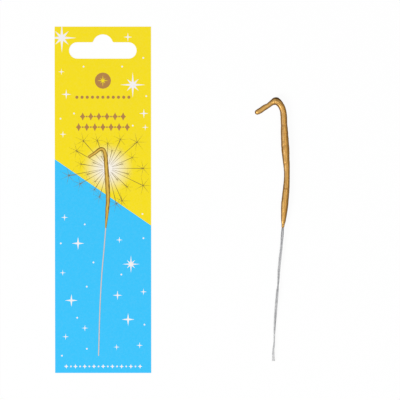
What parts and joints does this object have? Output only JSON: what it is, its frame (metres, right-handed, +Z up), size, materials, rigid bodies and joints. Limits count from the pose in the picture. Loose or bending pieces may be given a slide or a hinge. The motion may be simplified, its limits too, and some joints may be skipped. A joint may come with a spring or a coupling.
{
  "type": "number sparkler candle",
  "caption": "Gold sparkler shaped as the numeral 1 on a twisted wire stem, lying flat beside its tall printed hang card with a euro slot.",
  "frame": {"origin": "on the table, at the middle of the pair of card and sparkler", "axes": "+X from the card to the sparkler, +Y up the card towards its hang slot, +Z up from the table through the printed face"},
  "size_m": [0.122, 0.18, 0.0041],
  "materials": {
    "printed_board": "satin",
    "bright_wire": "satin",
    "spark_paste": "matte",
    "gold_paint": "satin"
  },
  "bodies": {
    "card": {"hang_card": "printed_board"},
    "sparkler": {"wire_strand_a": "bright_wire", "wire_strand_b": "bright_wire", "spark_compound": "spark_paste", "gold_coat": "gold_paint"}
  },
  "joints": [
    {"name": "sparkler_lift", "type": "slide", "parent": "card", "child": "sparkler", "axis": [0, 0, 1], "range_m": [0, 0.1]}
  ]
}
